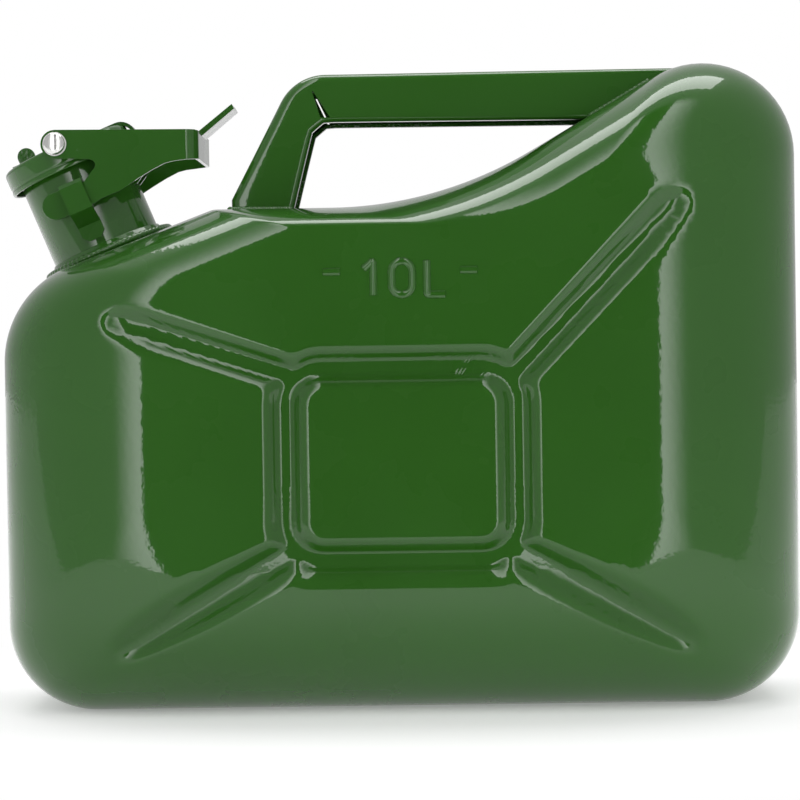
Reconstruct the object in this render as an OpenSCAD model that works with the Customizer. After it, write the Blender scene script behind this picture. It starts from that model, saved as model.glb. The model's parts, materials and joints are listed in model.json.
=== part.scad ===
// Ten litre pressed-steel jerry can with a cam-lever cap.
// +X runs from the spout end to the handle end, +Y to the back, +Z up.
// The origin is on the ground, at the centre of the can's box.

/* [Tank] */
// Length of the tank
tank_length = 345; // [330:1:380]
// Depth of the tank across its two pressed halves
tank_depth = 150; // [140:1:180]
// Thickness of the tank sheet
tank_wall = 1; // [0.8:0.1:1.4]
// Height where the shoulder meets the spout end
shoulder_z = 183; // [175:1:190]
// Height of the low part of the top, under the handle
dip_z = 217.5; // [212:0.5:222]
// Height where the handle end and the sloped top would meet
peak_z = 307; // [300:1:312]
// Distance from the spout end to the top of the shoulder
shoulder_run = 92; // [86:1:98]
// Distance from the handle end to the foot of the slope
slope_run = 155; // [145:1:160]
// Width of the flat band around the tank's edge
edge_band = 50; // [40:1:60]

/* [Pressed channel] */
// Depth of the pressed channel
channel_depth = 4.5; // [3:0.5:6]
// Width of the channel's floor
channel_floor = 6; // [5:0.5:8]
// Width of the channel's sloped wall
channel_wall = 6.5; // [5:0.5:8]
// Width of the raised centre panel
panel_width = 92; // [80:1:104]
// Height of the raised centre panel
panel_height = 75; // [65:1:85]
// Height of the centre panel's middle above the ground
panel_z = 108; // [102:1:114]
// How far the capacity mark stands proud
mark_relief = 1; // [0.6:0.1:1.5]

/* [Neck] */
// Outer diameter of the neck
neck_d = 48.6; // [46:0.2:50]
// Sheet thickness of the neck
neck_wall = 1.2; // [1:0.1:1.5]
// Length of the neck above the shoulder
neck_length = 41; // [40:0.5:43]
// Thickness of the ring that lines the mouth
mouth_ring_t = 1.6; // [1.3:0.1:2.5]
// Lean of the neck towards the spout end
neck_tilt = 22.5; // [21:0.5:24]
// Distance from the spout end to the foot of the neck's axis
neck_inset = 43.8; // [43:0.2:48]

/* [Cap] */
// Room between the neck and the cap's skirt
cap_room = 3.5; // [2.5:0.1:3.7]
// Height of the cap's skirt and top together
cap_height = 11; // [10:0.5:12]
// Sheet thickness of the cap
cap_wall = 1.2; // [1:0.1:1.4]
// Thickness of the rubber gasket
gasket_t = 3; // [2.5:0.1:3.5]
// Sheet thickness of the lever, bridge and keepers
strap_t = 1.6; // [1.3:0.1:1.8]
// Distance of the hinge pin beyond the cap's rim
hinge_reach = 2.5; // [2.5:0.5:4]
// Diameter of the hinge pin
hinge_pin_d = 4; // [3.5:0.1:4.5]
// Diameter of the lever's pivot studs
pivot_d = 6; // [5:0.2:7]

/* [Handle] */
// Width of the handle channel
handle_width = 40; // [34:1:44]
// Height of the grip bar's side
handle_side = 21; // [18:0.5:24]
// Sheet thickness of the handle
handle_wall = 1.5; // [1.2:0.1:2]
// Height of the top of the grip bar
handle_top = 276.5; // [270:0.5:278]

/* [Hidden] */
$fn = 48;

green = [0.17, 0.36, 0.14];
steel = [0.75, 0.76, 0.77];
rubber = [0.08, 0.08, 0.08];
gap = 0.3;         // clearance between pieces that pass each other
pin_gap = 0.06;    // radial clearance of a pin in its bore
eps = 0.01;

// ---- Tank outline, seen from the front, counter-clockwise from the spout end's foot ----
half_length = tank_length / 2;
half_depth = tank_depth / 2;
corners = [[-half_length, 0], [half_length, 0], [half_length, peak_z],
           [half_length - slope_run, dip_z], [shoulder_run - half_length, dip_z],
           [-half_length, shoulder_z]];
corner_r = [38.5, 40, 40, 175, 10, 44.7];   // rounding of the outline's corners
panel_r = [30, 30, 14, 100, 12, 28];        // rounding of the flat side panel's corners
panel_inset = [62, 66, 24, 11, 24, 66];     // width of the rounded edge along each side
arc_steps = 8;
edge_steps = 7;

function unit(v) = v / norm(v);
function left_of(v) = [-v[1], v[0]];
function at(list, i) = list[(i + len(list)) % len(list)];

// The corner where two sides meet once each has moved inwards by its inset.
function inset_corner(i, insets) =
    let (a = at(corners, i - 1), b = at(corners, i), c = at(corners, i + 1),
         d1 = unit(b - a), d2 = unit(c - b),
         p = b + left_of(d1) * at(insets, i - 1),
         q = b + left_of(d2) * at(insets, i),
         turn = d1[0] * d2[1] - d1[1] * d2[0],
         step = ((q - p)[0] * d2[1] - (q - p)[1] * d2[0]) / turn)
    p + d1 * step;

// The points of one rounded corner of an outline.
function corner_arc(a, b, c, r) =
    let (d1 = unit(a - b), d2 = unit(c - b),
         half = acos(d1 * d2) / 2,
         middle = b + unit(d1 + d2) * r / sin(half),
         first = b + d1 * r / tan(half) - middle,
         side = sign((b - a)[0] * (c - b)[1] - (b - a)[1] * (c - b)[0]),
         sweep = side * (180 - 2 * half),
         start = atan2(first[1], first[0]))
    [for (k = [0:arc_steps])
        middle + r * [cos(start + sweep * k / arc_steps), sin(start + sweep * k / arc_steps)]];

function outline(insets, radii) =
    let (v = [for (i = [0:len(corners) - 1]) inset_corner(i, insets)])
    [for (i = [0:len(v) - 1]) each corner_arc(at(v, i - 1), v[i], at(v, i + 1), radii[i])];

function even(width) = [for (i = corners) width];

// Convex corners tighten as the outline shrinks, the hollow one opens.
function shrunk_radii(width) = [for (i = [0:len(corner_r) - 1]) corner_r[i] + (i == 3 || i == 4 ? width : -width)];

panel_outline = outline(panel_inset, panel_r);
panel_slope = atan2(peak_z - dip_z, slope_run);
shoulder_slope = atan2(dip_z - shoulder_z, shoulder_run);

// One half of the tank as a full solid, its outline moved inwards and its panel lowered by the same amount.
module half_solid(width, seam_y) {
    rim = outline(even(width), shrunk_radii(width));
    count = len(rim);
    rings = concat([[seam_y, 0], [-edge_band / 2, 0]],
                   [for (k = [1:edge_steps])
                       let (t = 90 * k / edge_steps)
                       [-edge_band / 2 - (half_depth - width - edge_band / 2) * sin(t), 1 - cos(t)]]);
    points = [for (ring = rings) for (i = [0:count - 1])
        let (p = rim[i] + (panel_outline[i] - rim[i]) * ring[1])
        [p[0], ring[0], p[1]]];
    last = (len(rings) - 1) * count;
    walls = [for (j = [0:len(rings) - 2]) for (i = [0:count - 1])
        let (k = (i + 1) % count)
        [j * count + i, (j + 1) * count + i, (j + 1) * count + k, j * count + k]];
    ends = [[for (i = [0:count - 1]) i], [for (i = [count - 1:-1:0]) last + i]];
    polyhedron(points, concat(ends, walls), convexity = 4);
}

// ---- Pressed channel ----
panel_x = 1;
frame_w = panel_width / 2 + channel_floor / 2;
frame_h = panel_height / 2 + channel_floor / 2;
frame_round = 16;                           // rounding of the channel round the centre panel
panel_corner = frame_round - channel_floor / 2;
corner_cut = frame_round * (1 - sqrt(0.5)); // how far the rounding cuts each corner
arm_tips = [[55.5 - half_length, shoulder_z - 14], [half_length - 57, peak_z - 92],
            [55.5 - half_length, 29], [half_length - 52, 30]];
arm_sink = [0, 0, 7, 7];                    // how much deeper the tips are, where the panel curves away
arm_roots = [[-1, 1], [1, 1], [-1, -1], [1, -1]];

// A round-ended pressing tool: narrow at the channel's floor, wide at the panel.
module press(x, z, floor_r, grow, sink = 0) {
    over = 0.5;
    depth = channel_depth + sink;
    translate([x, -half_depth - over, z]) rotate([-90, 0, 0])
        cylinder(h = depth + over + grow, $fn = 20,
                 r1 = floor_r + grow + channel_wall * (depth + over) / channel_depth, r2 = floor_r + grow);
}

module channel(grow) {
    difference() {
        hull() for (sx = [-1, 1]) for (sz = [-1, 1])
            press(panel_x + sx * (frame_w - frame_round), panel_z + sz * (frame_h - frame_round),
                  channel_floor / 2 + frame_round, grow);
        hull() for (sx = [-1, 1]) for (sz = [-1, 1])
            translate([panel_x + sx * (frame_w - frame_round), -half_depth - 1, panel_z + sz * (frame_h - frame_round)])
                rotate([-90, 0, 0])
                    cylinder(h = channel_depth + 2 + grow, $fn = 20, r1 = panel_corner - channel_wall - 1 - grow,
                             r2 = panel_corner + 1 - grow);
    }
    for (i = [0:3]) hull() {
        press(panel_x + arm_roots[i][0] * (frame_w - corner_cut), panel_z + arm_roots[i][1] * (frame_h - corner_cut),
              channel_floor / 2, grow);
        press(arm_tips[i][0], arm_tips[i][1], channel_floor / 2, grow, arm_sink[i]);
    }
}

// ---- Capacity mark: a dash, the figures 1 and 0, the letter L, a dash ----
mark_z = 185.5;
mark_h = 17.5;
mark_x = 2;
stroke_w = 3.4;

module stroke(a, b) {
    hull() for (p = [a, b])
        translate([p[0], -half_depth - mark_relief, p[1]]) rotate([-90, 0, 0])
            cylinder(h = mark_relief + tank_wall / 2, r1 = stroke_w / 2 - 0.5, r2 = stroke_w / 2, $fn = 12);
}

module capacity_mark() {
    low = mark_z - mark_h / 2 + stroke_w / 2;
    high = mark_z + mark_h / 2 - stroke_w / 2;
    for (x = [-30, 26]) stroke([mark_x + x - 3, mark_z + 3], [mark_x + x + 3, mark_z + 3]);
    stroke([mark_x - 12, low], [mark_x - 12, high]);
    stroke([mark_x - 16, high - 3.5], [mark_x - 12, high]);
    zero_r = 4;
    for (s = [-1, 1]) stroke([mark_x + s * zero_r, low + zero_r], [mark_x + s * zero_r, high - zero_r]);
    for (k = [0:3]) {
        stroke([mark_x + zero_r * cos(45 * k), high - zero_r + zero_r * sin(45 * k)],
               [mark_x + zero_r * cos(45 * k + 45), high - zero_r + zero_r * sin(45 * k + 45)]);
        stroke([mark_x + zero_r * cos(45 * k), low + zero_r - zero_r * sin(45 * k)],
               [mark_x + zero_r * cos(45 * k + 45), low + zero_r - zero_r * sin(45 * k + 45)]);
    }
    stroke([mark_x + 11, low], [mark_x + 11, high]);
    stroke([mark_x + 11, low], [mark_x + 18, low]);
}

// ---- Neck frame: Z along the neck's axis, X across it towards the hinge ----
neck_r = neck_d / 2;
mouth_r = neck_r - neck_wall - mouth_ring_t;
neck_x = neck_inset - half_length;
neck_z = shoulder_z + neck_inset * tan(shoulder_slope);
lip_t = 1.6;                                  // thickness of the turned lip on the neck
lip_z = neck_length + lip_t;                  // top of the lip
skirt_z = neck_length - 1;                    // lower edge of the cap's skirt
cap_top = skirt_z + cap_height;               // top of the cap's raised rim
cap_r = neck_r + cap_room + cap_wall;
dish_r = cap_r - 8;
gasket_z = lip_z + gap;
dish_z = gasket_z + gasket_t;                 // underside of the cap's dished centre
rivet_r = 3;
lug_in = cap_r + gap;                         // inner face of the bridge's lugs
lug_out = lug_in + strap_t;
cheek_in = lug_out + gap;                     // inner face of the lever's cheeks
cheek_out = cheek_in + strap_t;
pivot_z = cap_top + 0.3;                      // height of the lever's pivot
pivot_r = pivot_d / 2;
stud_head_r = pivot_r + 1.7;
lug_r = pivot_r + 3;
washer_in = cheek_out + gap / 2;
washer_out = washer_in + 0.6;
keeper_in = cheek_out + 2 * gap;              // inner face of the keeper straps
keeper_out = keeper_in + strap_t;
plate_out = neck_r + strap_t;                 // outer face of the keeper plates
keeper_mid = -0.7;
keeper_w = 10.5;
hinge_x = cap_r + hinge_reach;
hinge_z = neck_length - 8;
hinge_r = hinge_pin_d / 2;
knuckle_r = hinge_r + 2;
knuckle_w = 10;
hinge_lug_t = 1.6;

module on_neck() translate([neck_x, 0, neck_z]) rotate([0, -neck_tilt, 0]) children();

// A flat plate in the X-Z plane, from y0 to y1.
module plate(y0, y1) rotate([90, 0, 0]) translate([0, 0, -y1]) linear_extrude(y1 - y0) children();

module ring(r_out, r_in, z0, z1) translate([0, 0, z0]) difference() {
    cylinder(r = r_out, h = z1 - z0);
    translate([0, 0, -1]) cylinder(r = r_in, h = z1 - z0 + 2);
}

// A pin along Y at (x, z), from y0 to y1.
module pin_y(x, z, r, y0, y1) translate([x, y1, z]) rotate([90, 0, 0]) cylinder(r = r, h = y1 - y0);

module two_sides(side) if (side < 0) children(); else mirror([0, 1, 0]) children();

// ---- Tank ----
seam_w = 1.6;

module tank_half(mark_side) difference() {
    union() {
        half_solid(0, -seam_w / 2);
        translate([mark_x, 0, 0]) scale([mark_side, 1, 1]) translate([-mark_x, 0, 0]) capacity_mark();
    }
    channel(0);
    difference() {
        half_solid(tank_wall, 5);
        channel(tank_wall);
    }
    on_neck() translate([0, 0, -20]) cylinder(r = neck_r, h = 60);
}

module tank_front_shell() color(green) tank_half(1);
module tank_back_shell() color(green) mirror([0, 1, 0]) tank_half(-1);

module tank_seam_weld() color(green) difference() {
    plate(-seam_w / 2, seam_w / 2) difference() {
        polygon(outline(even(0), corner_r));
        polygon(outline(even(tank_wall), shrunk_radii(tank_wall)));
    }
    on_neck() translate([0, 0, -20]) cylinder(r = neck_r, h = 60);
}

// ---- Neck ----
module neck_tube() color(green) on_neck() ring(neck_r, neck_r - neck_wall, -5, neck_length);

module neck_collar() color(green) on_neck() rotate_extrude()
    polygon([[neck_r, 1], [neck_r + 4, 1], [neck_r + 4, 2.2], [neck_r + 1.6, 2.6], [neck_r + 0.8, 4.5], [neck_r, 4.5]]);

module neck_weld_bead() color(green) on_neck() rotate_extrude()
    polygon([[neck_r + 4, 0.9], [neck_r + 5.8, 0.9], [neck_r + 5.4, 1.8], [neck_r + 4, 2.2]]);

module mouth_ring() color(green) on_neck() rotate_extrude()
    polygon([[mouth_r, lip_z - 13], [neck_r - neck_wall, lip_z - 13], [neck_r - neck_wall, neck_length],
             [neck_r, neck_length], [neck_r, lip_z], [mouth_r, lip_z]]);

breather_r = 5;
breather_x = neck_r - neck_wall - breather_r - 3;

module breather_tube() color(green) on_neck() translate([breather_x, 0, 0]) ring(breather_r, breather_r - 1, -40, lip_z - 16);

module breather_clip() color(green) on_neck() difference() {
    intersection() {
        translate([breather_x, -4, 8]) cube([12, 8, 6]);
        cylinder(r = neck_r - neck_wall, h = 30);
    }
    translate([breather_x, 0, 0]) cylinder(r = breather_r, h = 30);
}

// ---- Keepers: a flat wing plate, a joggled strap and a catch stud on each side of the neck ----
stud_x = -3.6;
stud_z = pivot_z - 22.7;
strap_foot = 7;
stud_r = 2.1;

module keeper_plate(side) color(green) on_neck() two_sides(side) difference() {
    union() {
        plate(-plate_out, -neck_r) {
            translate([-11, stud_z - 7.6]) square([11 + keeper_mid + keeper_w / 2, 12]);
            translate([-11, stud_z - 1.6]) circle(6);
        }
        plate(-neck_r - eps, 3 - neck_r) translate([keeper_mid - keeper_w / 2, stud_z - 7.6]) square([keeper_w, 12]);
    }
    cylinder(r = neck_r, h = 60);
}

module keeper_strap(side) color(green) on_neck() two_sides(side) difference() {
    strap_cut = 2.6;
    intersection() {
        translate([keeper_mid - keeper_w / 2, 0, 0]) rotate([90, 0, 90]) linear_extrude(keeper_w)
        polygon([[2 - neck_r, strap_foot], [-plate_out, strap_foot], [-plate_out, strap_foot + 7],
                 [-keeper_out, stud_z - 8.6], [-keeper_out, stud_z + 3.4], [1 - keeper_out, stud_z + 4.9],
                 [-plate_out, stud_z + 4.9], [-plate_out, stud_z + 3.3], [-keeper_in, stud_z + 3.3],
                 [-keeper_in, stud_z - 8], [-neck_r, strap_foot + 7.8], [2 - neck_r, strap_foot + 7.8]]);
        plate(-60, 0) translate([keeper_mid, strap_foot]) polygon([
            [strap_cut - keeper_w / 2, 0], [keeper_w / 2 - strap_cut, 0], [keeper_w / 2, strap_cut],
            [keeper_w / 2, 60], [-keeper_w / 2, 60], [-keeper_w / 2, strap_cut]]);
    }
    cylinder(r = neck_r, h = 60);
}

module catch_stud(side) color(steel) on_neck() two_sides(side) pin_y(stud_x, stud_z, stud_r, -keeper_in, -plate_out);

module keeper_plate_front() keeper_plate(-1);
module keeper_plate_back() keeper_plate(1);
module keeper_strap_front() keeper_strap(-1);
module keeper_strap_back() keeper_strap(1);
module catch_stud_front() catch_stud(-1);
module catch_stud_back() catch_stud(1);

// ---- Rear hinge ----
lug_y = knuckle_w / 2 + gap;

module hinge_bracket() color(green) on_neck() difference() {
    for (s = [-1, 1]) plate(s * (lug_y + hinge_lug_t / 2) - hinge_lug_t / 2, s * (lug_y + hinge_lug_t / 2) + hinge_lug_t / 2)
        hull() {
            translate([hinge_x, hinge_z]) circle(knuckle_r, $fn = 32);
            translate([neck_r - 3, hinge_z - 9]) square([3, 12]);
        }
    cylinder(r = neck_r, h = 60);
    pin_y(hinge_x, hinge_z, hinge_r, -20, 20);
}

module hinge_pin() color(steel) on_neck() {
    half = lug_y + hinge_lug_t;
    pin_y(hinge_x, hinge_z, hinge_r, -half, half);
    for (s = [-1, 1]) pin_y(hinge_x, hinge_z, hinge_r + 1, s * (half + 0.5) - 0.5, s * (half + 0.5) + 0.5);
}

// ---- Cap ----
module cap_shell() color(green) on_neck() difference() {
    rotate_extrude() polygon(concat(
        [[0, dish_z], [0, dish_z + cap_wall], [dish_r, dish_z + cap_wall], [dish_r + 2.5, cap_top]],
        [for (k = [0:6]) [cap_r - 3 + 3 * sin(15 * k), cap_top - 3 + 3 * cos(15 * k)]],
        [[cap_r, skirt_z], [cap_r - cap_wall, skirt_z], [cap_r - cap_wall, cap_top - 3],
         [cap_r - 3, cap_top - cap_wall], [dish_r + 3.3, cap_top - cap_wall], [dish_r + 0.6, dish_z]]));
    translate([0, 0, skirt_z]) cylinder(r = rivet_r, h = 30);
}

retainer_r = mouth_r - 4;

module cap_gasket() color(rubber) on_neck() ring(cap_r - cap_wall - gap, retainer_r, gasket_z, dish_z);

module gasket_retainer() color(steel) on_neck() ring(retainer_r, rivet_r, dish_z - 1, dish_z);

module cap_rivet() color(steel) on_neck() {
    translate([0, 0, dish_z - 1]) cylinder(r = rivet_r, h = cap_wall + 1);
    translate([0, 0, dish_z - 2]) cylinder(r = rivet_r + 2, h = 1);
    translate([0, 0, dish_z + cap_wall]) cylinder(r = rivet_r + 1.5, h = 1);
}

ear_x = 12 - cap_r;
ear_r = 3.9;
strap_half = knuckle_w / 2;
bar_half = cap_r - 5; // half the length of the bridge's bar along the cap
strap_x = cap_r + 1.9; // inner face of the hinge strap
strap_bend = 7;       // outer radius of the hinge strap's bend

module cap_bridge() color(green) on_neck() difference() {
    union() {
        translate([-bar_half, -strap_half, cap_top]) cube([2 * bar_half, knuckle_w, strap_t]);
        translate([-lug_r, -lug_out, cap_top]) cube([2 * lug_r, 2 * lug_out, strap_t]);
        for (s = [-1, 1]) plate(min(s * lug_in, s * lug_out), max(s * lug_in, s * lug_out)) {
            translate([0, pivot_z]) circle(lug_r);
            translate([-lug_r, pivot_z]) square([2 * lug_r, cap_top + strap_t - pivot_z]);
        }
        plate(-strap_t / 2, strap_t / 2) {
            translate([ear_x, cap_top + 4]) circle(ear_r);
            translate([ear_x - ear_r, cap_top]) square([2 * ear_r, 4]);
        }
        // The hinge strap bends over the cap's rim and ends in the knuckle.
        plate(-strap_half, strap_half) {
            polygon(concat(
                [[bar_half - 2, cap_top]],
                corner_arc([bar_half - 2, cap_top], [strap_x, cap_top], [strap_x, hinge_z], strap_bend - strap_t),
                [[strap_x, hinge_z], [strap_x + strap_t, hinge_z]],
                corner_arc([strap_x + strap_t, hinge_z], [strap_x + strap_t, cap_top + strap_t],
                           [bar_half - 2, cap_top + strap_t], strap_bend),
                [[bar_half - 2, cap_top + strap_t]]));
            translate([hinge_x, hinge_z]) circle(knuckle_r);
        }
    }
    pin_y(hinge_x, hinge_z, hinge_r + pin_gap, -20, 20);
    pin_y(0, pivot_z, pivot_r, -40, 40);
}

module pivot_stud(side) color(steel) on_neck() two_sides(side) {
    pin_y(0, pivot_z, pivot_r, -washer_out, -lug_in);
    translate([0, -washer_out, pivot_z]) rotate([90, 0, 0]) rotate_extrude()
        polygon(concat([[0, 0], [stud_head_r, 0]],
                       [for (k = [0:6]) [stud_head_r * cos(15 * k), 0.8 + 1.6 * sin(15 * k)]]));
}

module pivot_washer(side) color(steel) on_neck() two_sides(side)
    translate([0, 0, pivot_z]) rotate([90, 0, 0]) ring(pivot_r + 2.2, pivot_r, washer_in, washer_out);

module pivot_stud_front() pivot_stud(-1);
module pivot_stud_back() pivot_stud(1);
module pivot_washer_front() pivot_washer(-1);
module pivot_washer_back() pivot_washer(1);

// ---- Lever yoke, drawn upright around its pivot ----
lever_end = hinge_x + 30.7; // from the pivot to the outer face of the end web
lever_eye = lug_r + 0.2;    // radius of the cheek's round end
tab_w = 24;
lever_lean = 22.5;      // angle between the closed lever's top edge and a line across the neck
hook_angle = 54;      // slope of the hook's catching edge
hook_top = [13.2, -15.5];
hook_length = 12;
hook_tip = hook_top - hook_length * [cos(hook_angle), sin(hook_angle)];
cheek_edge = [[14.7, -6.7], [16.7, -7.4], [17.6, -8.8], [17.2, -10.4], hook_top, hook_tip, hook_tip + [1, -1.5],
              [10, -27], [14.5, -27.2], [17.1, -25.7], [20.5, -23.6], [27.6, -20.8], [36.2, -15.3], [41.9, -11.9],
              [47.6, -9], [51.1, -8.1], [57, -7.4], [lever_end + 1, -7], [lever_end + 1, 5],
              [lever_end - 1.6, 5.6]];

module at_pivot() on_neck() translate([0, 0, pivot_z]) rotate([0, lever_lean, 0]) children();

yoke_corner = 6;      // radius where each cheek turns into the end web

// The yoke seen from above: two cheeks joined by the end web.
module yoke_plan(out, corner) {
    polygon(concat([[-10, -out], [-10, out]],
                   corner_arc([-10, out], [lever_end - cheek_out + out, out], [lever_end - cheek_out + out, -out], corner),
                   corner_arc([lever_end - cheek_out + out, out], [lever_end - cheek_out + out, -out], [-10, -out], corner)));
}

module lever_yoke() color(green) at_pivot() difference() {
    union() {
        intersection() {
            translate([0, 0, -40]) linear_extrude(60) difference() {
                yoke_plan(cheek_out, yoke_corner);
                yoke_plan(cheek_in, yoke_corner - strap_t);
            }
            plate(-cheek_out - 1, cheek_out + 1)
                polygon(concat([for (k = [0:12]) lever_eye * [cos(90 + 15 * k), sin(90 + 15 * k)]], cheek_edge));
        }
        plate(-tab_w / 2, tab_w / 2) polygon([
            [lever_end - 2.6, 3.2], [lever_end - 1.6, 3.2], [lever_end - 0.2, 3.9], [lever_end + 14.5, 16],
            [lever_end + 13.4, 18], [lever_end - 1.4, 6.2], [lever_end - 2.6, 6]]);
    }
    pin_y(0, 0, pivot_r + pin_gap, -40, 40);
}

// ---- Handle: a pressed channel, open below, trimmed to the tank's outline ----
leg_foot = shoulder_run - half_length + 7.5;  // outer edge of the leg's foot
leg_w = 25;
leg_lean = 62.4;
knee_r = 22;
foot_rise = 4.5;
bar_end = half_length - 38;
bar_low = handle_top - handle_side;
hem = 5;

function knee_x(inset) = leg_foot + (handle_top - dip_z - foot_rise) / tan(leg_lean) + inset * tan(leg_lean / 2);

// Side view of the handle, its outer edge moved inwards by an inset and its lower edge at the given place.
module handle_side_view(inset, low, inner) {
    elbow = [knee_x(inset), handle_top - inset];
    foot_top = [leg_foot + inset, dip_z + foot_rise];
    difference() {
        polygon(concat(
            [[leg_foot + inset, dip_z - 10], foot_top],
            corner_arc(foot_top, elbow, [bar_end, handle_top - inset], knee_r - inset),
            [[bar_end, handle_top - inset], [bar_end, low],
             [leg_foot + leg_w + 12 + inner, low], [leg_foot + leg_w + inner, dip_z - 10]]));
        polygon(outline(even(0), corner_r));
    }
}

module handle_channel() color(green) {
    half = handle_width / 2;
    difference() {
        plate(-half, half) handle_side_view(0, bar_low, 0);
        plate(handle_wall - half, half - handle_wall) handle_side_view(handle_wall, bar_low - 8, 8);
    }
    for (s = [-1, 1]) plate(min(s * (half - hem), s * half), max(s * (half - hem), s * half)) difference() {
        translate([leg_foot + leg_w + 12, bar_low]) square([bar_end, handle_wall]);
        polygon(outline(even(0), corner_r));
        translate([half_length - slope_run + (bar_low - dip_z) / tan(panel_slope), bar_low - 5]) square([200, 20]);
    }
}

bead = 2;

module handle_foot_weld() color(green) difference() {
    translate([leg_foot - bead, -handle_width / 2 - bead, dip_z])
        cube([leg_w + 1.5 * bead, handle_width + 2 * bead, bead]);
    translate([leg_foot, -handle_width / 2, dip_z - 1]) cube([leg_w + 4 * bead, handle_width, 3 * bead]);
}

module handle_rear_weld() color(green) for (s = [-1, 1]) {
    near = s * handle_width / 2;
    far = s * (handle_width / 2 + bead);
    plate(min(near, far), max(near, far)) difference() {
        polygon([for (p = [[0, 0], [38, 0], [38, bead], [0, bead]])
            [half_length - slope_run + (bar_low - dip_z) / tan(panel_slope), bar_low]
            + p[0] * [cos(panel_slope), sin(panel_slope)] + p[1] * [-sin(panel_slope), cos(panel_slope)]]);
        polygon(outline(even(0), corner_r));
    }
}

// ---- One line per node ----
tank_front_shell();
tank_back_shell();
tank_seam_weld();
neck_tube();
neck_collar();
neck_weld_bead();
mouth_ring();
breather_tube();
breather_clip();
keeper_plate_front();
keeper_plate_back();
keeper_strap_front();
keeper_strap_back();
catch_stud_front();
catch_stud_back();
hinge_bracket();
hinge_pin();
handle_channel();
handle_foot_weld();
handle_rear_weld();
cap_shell();
cap_gasket();
gasket_retainer();
cap_rivet();
cap_bridge();
lever_yoke();
pivot_stud_front();
pivot_stud_back();
pivot_washer_front();
pivot_washer_back();
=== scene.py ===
# %% [markdown]
# # A glossy pressed-steel jerry can
# The can is two deep-pressed steel halves welded along the middle. A neck, a cam-lever cap and a channel
# handle are welded on top, and nearly everything is dipped in green enamel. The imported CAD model
# gives each piece's place. This script gives each piece its finished surface.

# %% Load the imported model
import json
import math

import bmesh
import bpy
from mathutils import Matrix, Vector


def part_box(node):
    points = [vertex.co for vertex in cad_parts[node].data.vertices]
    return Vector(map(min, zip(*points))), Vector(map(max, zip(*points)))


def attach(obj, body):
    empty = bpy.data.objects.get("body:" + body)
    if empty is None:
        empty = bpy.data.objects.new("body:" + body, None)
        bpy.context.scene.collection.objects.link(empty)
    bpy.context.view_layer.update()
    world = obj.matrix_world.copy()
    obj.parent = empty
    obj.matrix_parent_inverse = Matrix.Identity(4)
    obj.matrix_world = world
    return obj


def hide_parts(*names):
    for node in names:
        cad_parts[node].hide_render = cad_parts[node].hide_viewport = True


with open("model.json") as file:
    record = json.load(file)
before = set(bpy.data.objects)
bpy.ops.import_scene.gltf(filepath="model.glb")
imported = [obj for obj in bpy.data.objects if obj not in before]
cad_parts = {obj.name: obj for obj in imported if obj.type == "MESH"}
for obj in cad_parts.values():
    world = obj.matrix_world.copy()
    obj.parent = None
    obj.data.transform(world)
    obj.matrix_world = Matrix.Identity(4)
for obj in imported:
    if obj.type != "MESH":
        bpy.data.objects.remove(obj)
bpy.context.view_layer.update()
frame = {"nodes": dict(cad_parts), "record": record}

MM = 0.001

# %% [markdown]
# ## Where the neck and the cap stand
# The neck leans towards the spout end, so its pieces are easiest to make upright and then to lean over.
# One matrix holds that lean. Its origin is the foot of the neck on the shoulder.

# %% Read the tank's box and set the neck's frame
tank_low, tank_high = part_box("tank_front_shell")
half_length = tank_high[0]
mark_relief = 1 * MM
half_depth = -tank_low[1] - mark_relief
neck_axis = Vector(next(m["axis"] for m in frame["record"]["mounts"] if m["name"] == "mouth"))
neck_tilt = math.atan2(-neck_axis.x, neck_axis.z)
shoulder_z = 183 * MM
dip_z = 217.5 * MM
peak_z = 307 * MM
shoulder_run = 92 * MM
slope_run = 155 * MM
neck_inset = 43.8 * MM
shoulder_slope = math.atan2(dip_z - shoulder_z, shoulder_run)
neck_foot = Vector((neck_inset - half_length, 0, shoulder_z + neck_inset * math.tan(shoulder_slope)))
neck_frame = Matrix.Translation(neck_foot) @ Matrix.Rotation(-neck_tilt, 4, "Y")
print("neck leans", round(math.degrees(neck_tilt), 1), "degrees, foot at", [round(c, 4) for c in neck_foot])

# %% [markdown]
# ## The tank's outline
# From the side the tank is a polygon with rounded corners. The pressed side panel is a smaller outline
# inside it. A rounded edge joins the two, like a quarter of an ellipse, so a point of the wall is found
# from three things: where it is around the outline, how far it is inwards, and how far that lifts it.

# %% Build rounded outlines
corners = [Vector(c) for c in [
    (-half_length, 0), (half_length, 0), (half_length, peak_z),
    (half_length - slope_run, dip_z), (shoulder_run - half_length, dip_z), (-half_length, shoulder_z)]]
corner_r = [r * MM for r in (38.5, 40, 40, 175, 10, 44.7)]
panel_r = [r * MM for r in (30, 30, 14, 100, 12, 28)]
panel_inset = [d * MM for d in (62, 66, 24, 11, 24, 66)]


def inset_corner(i, insets):
    before, here, after = corners[i - 1], corners[i], corners[(i + 1) % len(corners)]
    d1 = (here - before).normalized()
    d2 = (after - here).normalized()
    p = here + Vector((-d1.y, d1.x)) * insets[i - 1]
    q = here + Vector((-d2.y, d2.x)) * insets[i]
    step = ((q - p).x * d2.y - (q - p).y * d2.x) / (d1.x * d2.y - d1.y * d2.x)
    return p + d1 * step


def corner_arc(before, here, after, radius, steps):
    d1 = (before - here).normalized()
    d2 = (after - here).normalized()
    half = d1.angle(d2) / 2
    middle = here + (d1 + d2).normalized() * radius / math.sin(half)
    first = here + d1 * radius / math.tan(half) - middle
    side = (here - before).x * (after - here).y - (here - before).y * (after - here).x
    sweep = math.copysign(math.pi - 2 * half, side)
    start = math.atan2(first.y, first.x)
    turns = [start + sweep * k / steps for k in range(steps + 1)]
    return [middle + radius * Vector((math.cos(turn), math.sin(turn))) for turn in turns]


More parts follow.
